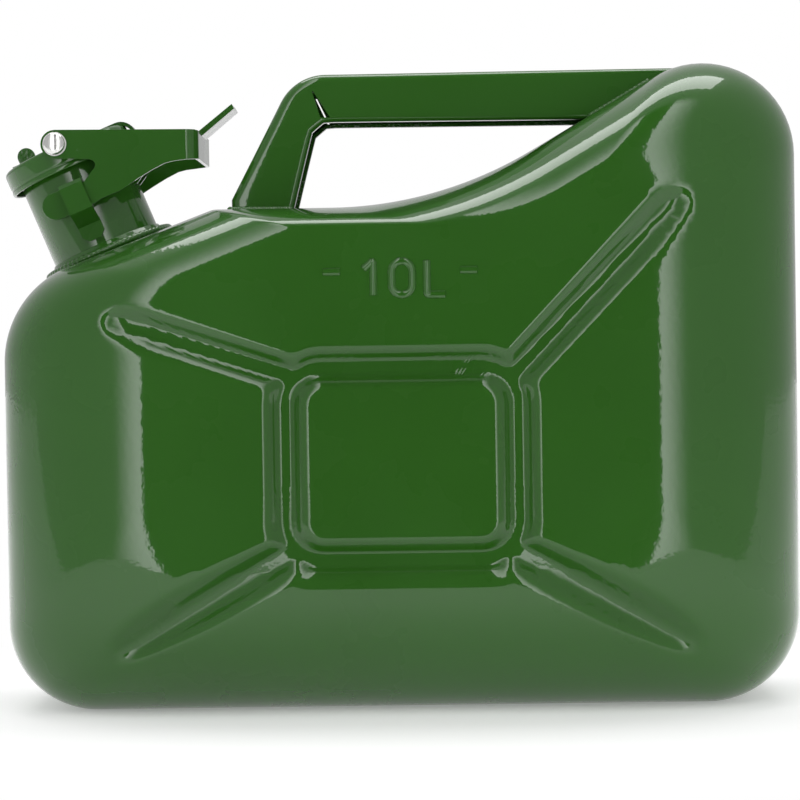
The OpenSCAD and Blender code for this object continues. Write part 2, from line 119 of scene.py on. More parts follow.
def outline(insets, radii, arc_steps=20, side_steps=(72, 44, 26, 20, 22, 36)):
    """Rounded corners with evenly split sides between them; every outline has the same count of points."""
    inner = [inset_corner(i, insets) for i in range(len(corners))]
    arcs = [corner_arc(inner[i - 1], inner[i], inner[(i + 1) % len(inner)], radii[i], arc_steps)
            for i in range(len(inner))]
    points = []
    for i, arc in enumerate(arcs):
        points += arc
        nxt = arcs[(i + 1) % len(arcs)][0]
        points += [arc[-1].lerp(nxt, k / side_steps[i]) for k in range(1, side_steps[i])]
    return points


rim_line = outline([0] * 6, corner_r)
panel_line = outline(panel_inset, panel_r)
print("points around the tank:", len(rim_line))

# %% [markdown]
# ## Helpers for meshes
# Blender keeps a shape as vertices and faces. These helpers turn lists of points into mesh objects,
# lathe a profile round the neck's axis, and take a clean copy of a CAD piece whose shape is already right.

# %% Make mesh helpers
def mesh_object(name, vertices, faces, smooth=True):
    mesh = bpy.data.meshes.new(name)
    mesh.from_pydata([tuple(v) for v in vertices], [], faces)
    mesh.update()
    made = bpy.data.objects.new(name, mesh)
    bpy.context.collection.objects.link(made)
    if smooth:
        mesh.shade_smooth()
    return made


def apply_modifiers(made):
    """Turns the object, with its modifiers, into a plain mesh."""
    graph = bpy.context.evaluated_depsgraph_get()
    plain = bpy.data.meshes.new_from_object(made.evaluated_get(graph))
    made.modifiers.clear()
    if made.type == "MESH":
        made.data = plain
        return made
    swapped = bpy.data.objects.new(made.name + "_mesh", plain)
    bpy.context.collection.objects.link(swapped)
    bpy.data.objects.remove(made)
    return swapped


def sharpen(made, degrees=35):
    """Smooth shading, with a crease wherever two faces meet at more than the angle."""
    made.data.shade_smooth()
    made.data.set_sharp_from_angle(angle=math.radians(degrees))


def place(made, matrix):
    made.data.transform(matrix)
    made.data.update()
    return made


def face_outwards(made, merge_distance=None):
    """Turns every face outwards, after merging vertices that lie closer together than the distance."""
    work = bmesh.new()
    work.from_mesh(made.data)
    if merge_distance:
        bmesh.ops.remove_doubles(work, verts=work.verts, dist=merge_distance)
    bmesh.ops.recalc_face_normals(work, faces=work.faces)
    work.to_mesh(made.data)
    work.free()


def lathe(name, profile, steps=96):
    """Turns a closed (radius, height) profile, in millimetres, round the neck's axis."""
    count = len(profile)
    vertices = []
    for k in range(steps):
        turn = math.tau * k / steps
        vertices += [(r * MM * math.cos(turn), r * MM * math.sin(turn), h * MM) for r, h in profile]
    faces = [(k * count + i, ((k + 1) % steps) * count + i,
              ((k + 1) % steps) * count + (i + 1) % count, k * count + (i + 1) % count)
             for k in range(steps) for i in range(count)]
    made = mesh_object(name, vertices, faces)
    face_outwards(made, 1e-7)
    sharpen(made, 40)
    return place(made, neck_frame)


nearly_straight = math.radians(85)


def rounded(profile, radius, steps=4):
    """Rounds every corner of a closed profile, as far as its shortest side allows."""
    made = []
    for i, here in enumerate(profile):
        here = Vector(here)
        before, after = Vector(profile[i - 1]), Vector(profile[(i + 1) % len(profile)])
        half = (before - here).angle(after - here) / 2
        if half > nearly_straight:
            made.append(tuple(here))
            continue
        reach = 0.45 * min((before - here).length, (after - here).length)
        fitting = min(radius, reach * math.tan(half))
        made += [tuple(p) for p in corner_arc(before, here, after, fitting, steps)]
    return made


def clean_copy(node, bevel_mm, segments=2):
    """A merged copy of a CAD piece with its sharp sheet edges rounded over."""
    made = frame["nodes"][node].copy()
    made.data = frame["nodes"][node].data.copy()
    made.name = node + "_finished"
    bpy.context.collection.objects.link(made)
    made.parent = None
    made.matrix_world = Matrix.Identity(4)
    work = bmesh.new()
    work.from_mesh(made.data)
    bmesh.ops.remove_doubles(work, verts=work.verts, dist=2e-6)
    bmesh.ops.dissolve_limit(work, angle_limit=math.radians(0.6), verts=work.verts, edges=work.edges)
    work.to_mesh(made.data)
    work.free()
    if bevel_mm:
        bevel = made.modifiers.new("rounded_edges", "BEVEL")
        bevel.width = bevel_mm * MM
        bevel.segments = segments
        bevel.limit_method = "ANGLE"
        bevel.angle_limit = math.radians(32)
        sharpen(made, 60)
        weigh = made.modifiers.new("flat_faces_lead", "WEIGHTED_NORMAL")
        weigh.keep_sharp = True
        made = apply_modifiers(made)
    else:
        sharpen(made, 40)
    return made


def finish_piece(made, node, body, paint):
    """Gives the piece its paint, lets it ride on its body and hides the CAD node it stands for."""
    made.data.materials.clear()
    made.data.materials.append(paint)
    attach(made, body)
    if node:
        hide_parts(node)
    print(made.name, "has", len(made.data.polygons), "faces")

# %% [markdown]
# ## Paint that is made once and shared
# Sprayed enamel is never a perfect mirror. It dries with orange peel, a fine dimpling that breaks up every
# highlight, over slow waves in the sheet itself. It also gathers dust and small scuffs. Each effect is a
# shader node group, so that both enamels can use it with their own strength.

# %% Make the shared effect groups
def new_group(name, inputs, outputs):
    group = bpy.data.node_groups.new(name, "ShaderNodeTree")
    for label, kind, value in inputs:
        socket = group.interface.new_socket(label, in_out="INPUT", socket_type=kind)
        if value is not None:
            socket.default_value = value
    for label, kind in outputs:
        group.interface.new_socket(label, in_out="OUTPUT", socket_type=kind)
    return group, group.nodes.new("NodeGroupInput"), group.nodes.new("NodeGroupOutput")


def add_node(tree, kind, **settings):
    node = tree.nodes.new(kind)
    for key, value in settings.items():
        setattr(node, key, value)
    return node


def math_node(tree, operation, a, b):
    node = add_node(tree, "ShaderNodeMath", operation=operation)
    for socket, value in zip(node.inputs, (a, b)):
        if isinstance(value, (int, float)):
            socket.default_value = value
        else:
            tree.links.new(value, socket)
    return node.outputs[0]


def noise(tree, vector, scale, detail=2.0, roughness=0.5):
    node = add_node(tree, "ShaderNodeTexNoise")
    tree.links.new(vector, node.inputs["Vector"])
    if isinstance(scale, (int, float)):
        node.inputs["Scale"].default_value = scale
    else:
        tree.links.new(scale, node.inputs["Scale"])
    node.inputs["Detail"].default_value = detail
    node.inputs["Roughness"].default_value = roughness
    return node.outputs["Fac"]


def ramp(tree, fac, low, high):
    """A mask that goes smoothly from 0 at the first value to 1 at the second."""
    node = add_node(tree, "ShaderNodeMapRange", interpolation_type="SMOOTHSTEP")
    tree.links.new(fac, node.inputs["Value"])
    node.inputs["From Min"].default_value = low
    node.inputs["From Max"].default_value = high
    return node.outputs["Result"]


def make_surface_relief():
    group, given, result = new_group(
        "enamel_relief",
        [("Vector", "NodeSocketVector", None), ("Peel Scale", "NodeSocketFloat", 420.0),
         ("Peel Height", "NodeSocketFloat", 0.5), ("Wave Scale", "NodeSocketFloat", 14.0),
         ("Wave Height", "NodeSocketFloat", 1.0)],
        [("Height", "NodeSocketFloat")])
    peel = noise(group, given.outputs["Vector"], given.outputs["Peel Scale"], 1.0)
    wave = noise(group, given.outputs["Vector"], given.outputs["Wave Scale"], 0.0)
    peel = math_node(group, "MULTIPLY", peel, given.outputs["Peel Height"])
    wave = math_node(group, "MULTIPLY", wave, given.outputs["Wave Height"])
    group.links.new(math_node(group, "ADD", peel, wave), result.inputs["Height"])
    return group


def make_scuffs():
    group, given, result = new_group(
        "edge_scuffs",
        [("Vector", "NodeSocketVector", None), ("Speckle Scale", "NodeSocketFloat", 900.0),
         ("Edge Amount", "NodeSocketFloat", 1.0)],
        [("Scuff Mask", "NodeSocketFloat")])
    shape = add_node(group, "ShaderNodeNewGeometry")
    edges = ramp(group, shape.outputs["Pointiness"], 0.53, 0.62)
    patchy = ramp(group, noise(group, given.outputs["Vector"], 45.0, 3.0), 0.50, 0.68)
    specks = noise(group, given.outputs["Vector"], given.outputs["Speckle Scale"], 2.0)
    speckle = ramp(group, specks, 0.52, 0.60)
    worn = math_node(group, "MULTIPLY", math_node(group, "MULTIPLY", edges, patchy), speckle)
    mask = math_node(group, "MULTIPLY", worn, given.outputs["Edge Amount"])
    group.links.new(mask, result.inputs["Scuff Mask"])
    return group


def make_dust():
    group, given, result = new_group(
        "settled_dust",
        [("Vector", "NodeSocketVector", None), ("Amount", "NodeSocketFloat", 0.3)],
        [("Dust Mask", "NodeSocketFloat")])
    shape = add_node(group, "ShaderNodeNewGeometry")
    split = add_node(group, "ShaderNodeSeparateXYZ")
    group.links.new(shape.outputs["Normal"], split.inputs[0])
    upward = ramp(group, split.outputs["Z"], 0.35, 1.0)
    cloud = ramp(group, noise(group, given.outputs["Vector"], 30.0, 5.0, 0.65), 0.35, 0.75)
    settled = math_node(group, "MULTIPLY", upward, cloud)
    mask = math_node(group, "MULTIPLY", settled, given.outputs["Amount"])
    group.links.new(mask, result.inputs["Dust Mask"])
    return group


surface_relief = make_surface_relief()
edge_scuffs = make_scuffs()
settled_dust = make_dust()
print("shared groups:", surface_relief.name, edge_scuffs.name, settled_dust.name)

# %% [markdown]
# ## Materials
# Green enamel is a coloured base under a clear glossy skin, so it uses the Principled shader's coat. The
# plated pins are metal with a fine grain, the gasket is dull black rubber. Colours wander slightly over the
# surface, because no real finish is one flat value.

# %% Make the materials
def use_group(tree, group, vector, **values):
    node = add_node(tree, "ShaderNodeGroup", node_tree=group)
    tree.links.new(vector, node.inputs["Vector"])
    for label, value in values.items():
        node.inputs[label.replace("_", " ")].default_value = value
    return node


def mix_colour(tree, fac, a, b):
    node = add_node(tree, "ShaderNodeMix", data_type="RGBA")
    tree.links.new(fac, node.inputs["Factor"])
    for socket, value in ((node.inputs[6], a), (node.inputs[7], b)):
        if isinstance(value, tuple):
            socket.default_value = value
        else:
            tree.links.new(value, socket)
    return node.outputs[2]


def new_material(name, **constants):
    material = bpy.data.materials.new(name)
    material.use_nodes = True
    tree = material.node_tree
    shader = tree.nodes["Principled BSDF"]
    for label, value in constants.items():
        shader.inputs[label.replace("_", " ")].default_value = value
    vector = add_node(tree, "ShaderNodeTexCoord").outputs["Object"]
    return material, tree, shader, vector


def add_bump(tree, shader, height, strength, distance, coat=False):
    bump = add_node(tree, "ShaderNodeBump")
    bump.inputs["Strength"].default_value = strength
    bump.inputs["Distance"].default_value = distance
    tree.links.new(height, bump.inputs["Height"])
    tree.links.new(bump.outputs["Normal"], shader.inputs["Normal"])
    if coat:
        tree.links.new(bump.outputs["Normal"], shader.inputs["Coat Normal"])


def enamel(name, deep, light, gloss, peel, wear, dust):
    material, tree, shader, vector = new_material(
        name, Specular_IOR_Level=0.08, Coat_Weight=1.0, Coat_Roughness=0.04, Coat_IOR=1.5)
    tone = ramp(tree, noise(tree, vector, 9.0, 3.0), 0.3, 0.7)
    colour = mix_colour(tree, tone, deep, light)
    scuff = use_group(tree, edge_scuffs, vector, Edge_Amount=wear).outputs[0]
    dusty = use_group(tree, settled_dust, vector, Amount=dust).outputs[0]
    colour = mix_colour(tree, scuff, colour, (0.42, 0.43, 0.42, 1))
    colour = mix_colour(tree, dusty, colour, (0.34, 0.35, 0.30, 1))
    tree.links.new(colour, shader.inputs["Base Color"])
    smear = ramp(tree, noise(tree, vector, 22.0, 4.0), 0.3, 0.8)
    rough = math_node(tree, "ADD", math_node(tree, "MULTIPLY", smear, 0.10), gloss)
    rough = math_node(tree, "ADD", rough, math_node(tree, "MULTIPLY", dusty, 0.45))
    rough = math_node(tree, "ADD", rough, math_node(tree, "MULTIPLY", scuff, 0.25))
    tree.links.new(rough, shader.inputs["Roughness"])
    relief = use_group(tree, surface_relief, vector, Peel_Height=peel, Wave_Height=0.2)
    add_bump(tree, shader, relief.outputs["Height"], 0.25, 0.0004, coat=True)
    return material


deep_green = (0.0175, 0.084, 0.0058, 1)
green_enamel = enamel(
    "green_enamel", deep_green, (0.0200, 0.094, 0.0070, 1), gloss=0.25, peel=0.22, wear=0.25, dust=0.03)
worked_enamel = enamel(
    "worked_green_enamel", deep_green, (0.0210, 0.096, 0.0076, 1), gloss=0.25, peel=0.12, wear=0.5, dust=0.03)


def plated(name, colour, rough, grain_scale):
    material, tree, shader, vector = new_material(name, Metallic=1.0)
    grain = noise(tree, vector, grain_scale, 4.0)
    darker = tuple(0.8 * c for c in colour[:3]) + (1,)
    tree.links.new(mix_colour(tree, grain, colour, darker), shader.inputs["Base Color"])
    roughness = math_node(tree, "ADD", math_node(tree, "MULTIPLY", grain, 0.18), rough)
    tree.links.new(roughness, shader.inputs["Roughness"])
    add_bump(tree, shader, grain, 0.15, 0.0002)
    return material


bright_plate = plated("bright_plate", (0.82, 0.82, 0.80, 1), 0.12, 900.0)
dull_plate = plated("dull_plate", (0.62, 0.62, 0.60, 1), 0.30, 500.0)


def make_rubber():
    material, tree, shader, vector = new_material("gasket_rubber")
    grain = noise(tree, vector, 700.0, 3.0)
    black = mix_colour(tree, grain, (0.012, 0.012, 0.012, 1), (0.03, 0.03, 0.028, 1))
    tree.links.new(black, shader.inputs["Base Color"])
    roughness = math_node(tree, "ADD", math_node(tree, "MULTIPLY", grain, 0.2), 0.6)
    tree.links.new(roughness, shader.inputs["Roughness"])
    add_bump(tree, shader, grain, 0.3, 0.0003)
    return material


gasket_rubber = make_rubber()
print("materials:", [m.name for m in bpy.data.materials])

# %% [markdown]
# ## The pressed tank halves
# A press draws each half in one stroke, so its surface is one smooth sheet: flat band, rounded edge, side
# panel and a narrow cross-shaped channel pressed inwards to stiffen it. A sculpted or boolean-cut mesh would
# ripple in the gloss. Here every vertex is worked out from the outlines, then lowered by the channel's own
# cross-section, which is blended softly into the panel as the press's radius would leave it.

# %% Describe the channel
channel_depth = 4.5 * MM
floor_half = 3 * MM
wall_width = 6.5 * MM
press_radius = 1.5 * MM
wall_slope = (channel_depth + press_radius) / wall_width
panel_x = 1 * MM
panel_z = 108 * MM
frame_w = 49 * MM
frame_h = 40.5 * MM
frame_round = 16 * MM
corner_cut = frame_round * (1 - math.sqrt(0.5))
arm_tips = [(55.5 * MM - half_length, shoulder_z - 14 * MM), (half_length - 57 * MM, peak_z - 92 * MM),
            (55.5 * MM - half_length, 29 * MM), (half_length - 52 * MM, 30 * MM)]
arm_sink = [0, 0, 7 * MM, 7 * MM]
root_x, root_z = frame_w - corner_cut, frame_h - corner_cut
arm_roots = [(-root_x, root_z), (root_x, root_z), (-root_x, -root_z), (root_x, -root_z)]


def soft_max(a, b, reach):
    h = max(reach - abs(a - b), 0) / reach
    return max(a, b) + h * h * reach / 4


def arm_depth(p, a, b, sink):
    """Depth of one arm, whose floor sinks towards its tip where the panel curves away."""
    along = max(0.0, min(1.0, (p - a).dot(b - a) / (b - a).length_squared))
    away = (p - a - (b - a) * along).length
    return channel_depth + sink * along - wall_slope * max(0.0, away - floor_half)


def to_frame(p):
    """Distance from the centre line of the rounded frame round the raised centre panel."""
    dx = abs(p.x - panel_x) - (frame_w - frame_round)
    dz = abs(p.y - panel_z) - (frame_h - frame_round)
    outside = math.hypot(max(dx, 0), max(dz, 0)) + min(max(dx, dz), 0)
    return abs(outside - frame_round)


arm_start = 4.5 * MM
arm_blend = 3 * MM
arms = []
for (x, z), tip in zip(arm_roots, arm_tips):
    root = (panel_x + x + math.copysign(arm_start, x), panel_z + z + math.copysign(arm_start / 2, z))
    arms.append((Vector(root), Vector(tip)))


def channel_floor(x, z):
    """How deep the pressing tool reaches at a point of the side panel."""
    p = Vector((x, z))
    deepest = channel_depth - wall_slope * max(0.0, to_frame(p) - floor_half)
    for (a, b), sink in zip(arms, arm_sink):
        arm = arm_depth(p, a, b, sink)
        deepest = min(soft_max(deepest, arm, arm_blend), max(channel_depth, deepest, arm))
    return max(deepest, -press_radius)


# %% Press the two halves
band = 25 * MM
seam_half = 0.8 * MM
sheet = 1 * MM
pressed_zone = 20 * MM
opening_r = 26 * MM
opening_reach = 30 * MM
edge_rings = 26
panel_rings = 84


def tank_half(name, side):
    centre = Vector((panel_x, panel_z))
    rings = [(seam_half, 0.0, 0.0), (band * 0.5, 0.0, 0.0), (band, 0.0, 0.0)]
    for k in range(1, edge_rings + 1):
        t = math.pi / 2 * k / edge_rings
        rings.append((band + (half_depth - band) * math.sin(t), 1 - math.cos(t), 0.0))
    rings += [(half_depth, 1.0, k / panel_rings) for k in range(1, panel_rings)]
    count = len(rim_line)
    vertices = []
    for depth, inwards, shrink in rings:
        for rim, panel in zip(rim_line, panel_line):
            p = rim.lerp(panel, inwards).lerp(centre, shrink)
            y = -depth
            if depth > half_depth - pressed_zone:
                y = soft_max(y, -half_depth + channel_floor(p.x, p.y), press_radius)
            vertices.append(Vector((p.x, side * -y, p.y)))
    middle = len(vertices)
    vertices.append(Vector((centre.x, side * half_depth, centre.y)))
    faces = []
    for j in range(len(rings) - 1):
        for i in range(count):
            k = (i + 1) % count
            faces.append((j * count + i, j * count + k, (j + 1) * count + k, (j + 1) * count + i))
    last = (len(rings) - 1) * count
    faces += [(last + i, last + (i + 1) % count, middle) for i in range(count)]
    to_neck = neck_frame.inverted()
    kept = []
    for face in faces:
        spot = to_neck @ (sum((vertices[i] for i in face), Vector()) / len(face))
        if math.hypot(spot.x, spot.y) > opening_r or abs(spot.z) > opening_reach:
            kept.append(face if side < 0 else tuple(reversed(face)))
    made = mesh_object(name, vertices, kept)
    wall = made.modifiers.new("sheet", "SOLIDIFY")
    wall.thickness = sheet
    wall.offset = -1
    return apply_modifiers(made)


tank_front = tank_half("tank_front", -1)
tank_back = tank_half("tank_back", 1)
for half, node in ((tank_front, "tank_front_shell"), (tank_back, "tank_back_shell")):
    sharpen(half, 60)
    finish_piece(half, node, "can", green_enamel)

# %% [markdown]
# ## The neck, the mouth and the cap
# These are turned or spun parts, so each is a profile turned round the neck's axis. Rounding every corner of
# the profile by a fraction of a millimetre gives the thin bright line that real sheet edges catch.

# %% Turn the round pieces
neck_r, mouth_r, neck_top, lip_top = 24.3, 21.5, 41.0, 42.6
cap_r, skirt_z, cap_top, dish_z = 29.0, 40.0, 51.0, 45.9
neck_inner_r = neck_r - 1.2
skirt_inner_r = cap_r - 1.2
mouth_ring_foot = lip_top - 13
retainer_z = dish_z - 1
plate_top = dish_z + 1.2

turned = [
    ("neck_tube", "can", "paint", green_enamel,
     rounded([(neck_inner_r, -5), (neck_r, -5), (neck_r, neck_top), (neck_inner_r, neck_top)], 0.3)),
    ("neck_collar", "can", "paint", worked_enamel,
     rounded([(neck_r, 0.9), (neck_r + 4.2, 0.9), (neck_r + 4, 2.2), (neck_r + 1.6, 2.7), (neck_r + 0.7, 4.6),
              (neck_r, 4.6)], 0.7)),
    ("mouth_ring", "can", "paint", worked_enamel,
     rounded([(mouth_r, mouth_ring_foot), (neck_inner_r, mouth_ring_foot), (neck_inner_r, neck_top),
              (neck_r, neck_top), (neck_r, lip_top), (mouth_r, lip_top)], 0.5)),
    ("cap_shell", "cap", "paint", worked_enamel,
     [(3.0, dish_z), (3.0, plate_top)]
     + rounded([(3.1, plate_top), (21, plate_top), (23.2, cap_top), (cap_r, cap_top), (cap_r, 43.2),
                (cap_r - 0.35, 42.4), (cap_r, 41.6), (cap_r, skirt_z), (skirt_inner_r, skirt_z),
                (skirt_inner_r, cap_top - 1.2), (24.2, cap_top - 1.2), (21.7, dish_z), (3.1, dish_z)], 2.0)),
    ("cap_gasket", "cap", "gasket", gasket_rubber,
     rounded([(17.6, 42.9), (27.4, 42.9), (27.4, dish_z), (17.6, dish_z)], 0.6)),
    ("gasket_retainer", "cap", "pins", dull_plate,
     rounded([(3.0, retainer_z), (17.4, retainer_z), (17.4, dish_z), (3.0, dish_z)], 0.3)),
    ("cap_rivet", "cap", "pins", bright_plate,
     [(0, dish_z - 2.2)]
     + rounded([(4.2, dish_z - 2.1), (5, dish_z - 1.5), (5, retainer_z), (3, retainer_z),
                (3, plate_top), (4.5, plate_top), (4.5, dish_z + 1.8), (3, dish_z + 2.3)], 0.3)
     + [(0, dish_z + 2.4)]),
]
for node, body, slot, paint, profile in turned:
    finish_piece(lathe(node + "_turned", profile), node, body, paint)

# %% [markdown]
# ## The breather
# Behind the lip a narrow tube lets air in while fuel pours out. It is off the neck's axis, so it is turned
# on its own centre and moved across.

# %% Turn the breather tube and take the clip
breather_foot, breather_top, breather_off_axis = -40, lip_top - 16, 15.1
breather_profile = [(4, breather_foot), (5, breather_foot), (5, breather_top), (4, breather_top)]
breather = lathe("breather_tube_turned", rounded(breather_profile, 0.3), 48)
offset = neck_frame @ Matrix.Translation((breather_off_axis * MM, 0, 0)) @ neck_frame.inverted()
finish_piece(place(breather, offset), "breather_tube", "can", worked_enamel)
finish_piece(clean_copy("breather_clip", 0.2), "breather_clip", "can", worked_enamel)

# %% [markdown]
# ## Folded sheet pieces
# The keepers, the hinge, the bridge and the lever are cut from sheet and folded. The CAD shapes are right,
# so each gets a merged copy with its edges rounded by a Bevel modifier, as thick enamel rounds them.

# %% Round the edges of the sheet pieces
sheet_pieces = [
    ("keeper_plate_front", "can", 0.35), ("keeper_plate_back", "can", 0.35),
    ("keeper_strap_front", "can", 0.45), ("keeper_strap_back", "can", 0.45),
    ("hinge_bracket", "can", 0.3), ("cap_bridge", "cap", 0.4), ("lever_yoke", "lever", 0.45),
]
for node, body, bevel in sheet_pieces:
    finish_piece(clean_copy(node, bevel, 3), node, body, worked_enamel)

pin_pieces = [
    ("catch_stud_front", "can", 0.2, dull_plate), ("catch_stud_back", "can", 0.2, dull_plate),
    ("hinge_pin", "can", 0.3, dull_plate),
    ("pivot_washer_front", "cap", 0.12, dull_plate), ("pivot_washer_back", "cap", 0.12, dull_plate),
]
for node, body, bevel, metal in pin_pieces:
    finish_piece(clean_copy(node, bevel, 2), node, body, metal)

# %% [markdown]
# ## The pivot studs
# The lever turns on two shouldered studs with domed, bright-plated heads. A dome needs many rings to shine
# smoothly, so it is turned like the neck and then laid over to point out of the side.

# %% Turn the pivot studs
pivot_z, head_r, head_from = 51.3, 4.7, 33.65
shank_from, shank_r = 29.4, 2.95
for side, node in ((-1, "pivot_stud_front"), (1, "pivot_stud_back")):
    dome = [(head_r * math.cos(a), head_from + 0.7 + 1.9 * math.sin(a))
            for a in (math.pi / 2 * k / 10 for k in range(10))]
    profile = [(0, shank_from), (shank_r, shank_from), (shank_r, head_from),
               (head_r - 0.2, head_from), (head_r, head_from + 0.2)]
    stud = lathe(node + "_turned", profile + dome + [(0, head_from + 2.6)], 64)
    on_axle = neck_frame @ Matrix.Translation((0, 0, pivot_z * MM))
    laid_over = on_axle @ Matrix.Rotation(-side * math.pi / 2, 4, "X")
    finish_piece(place(stud, laid_over @ neck_frame.inverted()), node, "cap", bright_plate)

# %% [markdown]
# ## The handle
# The handle is one pressed channel, open below, with its edges hemmed inwards. It is made as a sheet: a
# cross-section is repeated at stations along the leg, round the knee and along the grip bar, and Solidify
# gives the sheet its thickness. Each station runs from the outer edge to the inner edge of the side view.

# %% Lay out the handle's stations
handle_half = 20 * MM
handle_top = 276.5 * MM
bar_low = 255.5 * MM
sheet_t = 1.5 * MM
hem_width = 5.5 * MM
hem_fold = 1.6 * MM
top_fold = 3.2 * MM
leg_lean = math.radians(62.4)
leg_foot = shoulder_run - half_length + 7.5 * MM
leg_width = 25 * MM
slope_x = half_length - slope_run
panel_slope = math.atan2(peak_z - dip_z, slope_run)
foot_top = Vector((leg_foot, dip_z + 4.5 * MM))
elbow = Vector((leg_foot + (handle_top - foot_top.y) / math.tan(leg_lean), handle_top))
bar_stop = Vector((122.3 * MM, handle_top))
inner_foot = Vector((leg_foot + leg_width + 2.4 * MM, dip_z))
inner_knee = Vector((leg_foot + leg_width + 12 * MM, bar_low))
inner_stop = Vector((slope_x + (bar_low - dip_z) / math.tan(panel_slope), bar_low))


def run(a, b, steps):
    return [a.lerp(b, k / steps) for k in range(steps)]


knee = corner_arc(foot_top, elbow, bar_stop, 22 * MM, 14)
inner_bend = inner_knee.lerp(inner_foot, 0.12)
inner_bar = inner_knee + Vector((4 * MM, 0))
outer_leg = [Vector((leg_foot, dip_z))] + run(foot_top, knee[0], 8)
stations = list(zip(outer_leg, run(inner_foot, inner_bend, 9)))
stations += list(zip(knee, run(inner_bend, inner_bar, 15)))
stations += list(zip(run(knee[-1], bar_stop, 30)[1:], run(inner_bar, inner_stop, 30)[1:]))
stations.append((bar_stop, inner_stop))


def handle_section(outer, inner):
    """Half of the folded section, from the hem's tip round to near the middle of the top.

    A point is (y, share), where the share runs from 0 at the outer edge to 1 at the inner edge."""
    depth = (outer - inner).length
    inset = sheet_t / 2
    wall_y = handle_half - inset
    points = [(handle_half - hem_width, 1 - inset / depth), (wall_y - hem_fold, 1 - inset / depth)]
    for k in range(1, 4):
        a = math.pi / 2 * k / 4
        share = 1 - (inset + hem_fold - hem_fold * math.cos(a)) / depth
        points.append((wall_y - hem_fold + hem_fold * math.sin(a), share))
    points.append((wall_y, 1 - (inset + hem_fold) / depth))
    points += [(wall_y, 1 - (inset + hem_fold) / depth - k * 0.18) for k in range(1, 4)]
    for k in range(7):
        a = math.pi / 2 * k / 6
        share = (inset + top_fold - top_fold * math.sin(a)) / depth
        points.append((wall_y - top_fold + top_fold * math.cos(a), share))
    points.append((wall_y * 0.45, inset / depth))
    return points


vertices, faces = [], []
for outer, inner in stations:
    half = handle_section(outer, inner)
    whole = half + [(-y, share) for y, share in reversed(half)]
    for y, share in whole:
        p = outer.lerp(inner, share)
        vertices.append((p.x, y, p.y))
count = len(whole)
for j in range(len(stations) - 1):
    for i in range(count - 1):
        faces.append((j * count + i, (j + 1) * count + i, (j + 1) * count + i + 1, j * count + i + 1))
handle = mesh_object("handle_pressed", vertices, faces)
wall = handle.modifiers.new("sheet", "SOLIDIFY")
wall.thickness = sheet_t
wall.offset = 0
wall.use_even_offset = True
handle = apply_modifiers(handle)
face_outwards(handle)

# %% [markdown]
# Where the channel is folded at the knee, a narrow notch is cut out of each side so that the metal can
# close up. A thin wedge taken away with a Boolean modifier leaves that dark slit. It has closed up more on
# the back than on the front.

# %% Cut the fold slits and finish the handle
slit_top, slit_foot = Vector((-36.6, 269.0)), Vector((-31.2, 257.5))
slit_tip_half = 0.3
slit_widths = {-1: 4.2, 1: 0.8}
slit_reach = 4 * MM
wedge_faces = [(0, 1, 2, 3), (7, 6, 5, 4)] + [(k, k + 4, (k + 1) % 4 + 4, (k + 1) % 4) for k in range(4)]
for side, slit_width in slit_widths.items():
    slit = [slit_top - Vector((slit_tip_half, 0)), slit_top + Vector((slit_tip_half, 0)),
            slit_foot + Vector((slit_width / 2, 0)), slit_foot - Vector((slit_width / 2, 0))]
    near, far = side * (handle_half - slit_reach), side * (handle_half + slit_reach)
    wedge_corners = [(p.x * MM, y, p.y * MM) for y in (near, far) for p in slit]
    wedge = mesh_object("slit_cutter", wedge_corners, wedge_faces)
    face_outwards(wedge)
    cut = handle.modifiers.new("slit", "BOOLEAN")
    cut.operation = "DIFFERENCE"
    cut.object = wedge
    cut.solver = "EXACT"
    handle = apply_modifiers(handle)
    bpy.data.objects.remove(wedge)
sharpen(handle, 35)
finish_piece(handle, "handle_channel", "can", worked_enamel)

# %% [markdown]
# ## Weld beads
# A welder's torch moves in small steps and leaves a bead of overlapping scales. The bead follows a path and
# its scales repeat, so one Geometry Nodes tree makes them all: it resamples the path, swells and narrows the
# bead's radius once per scale, and sweeps a round section along it.

# %% Build the bead tree
def geometry_tree(name, inputs):
    tree = bpy.data.node_groups.new(name, "GeometryNodeTree")
    tree.interface.new_socket("Geometry", in_out="INPUT", socket_type="NodeSocketGeometry")
    named = {}
    for label, kind, value in inputs:
        socket = tree.interface.new_socket(label, in_out="INPUT", socket_type=kind)
        if value is not None:
            socket.default_value = value
        named[label] = socket.identifier
    tree.interface.new_socket("Geometry", in_out="OUTPUT", socket_type="NodeSocketGeometry")
    return tree, tree.nodes.new("NodeGroupInput"), tree.nodes.new("NodeGroupOutput"), named


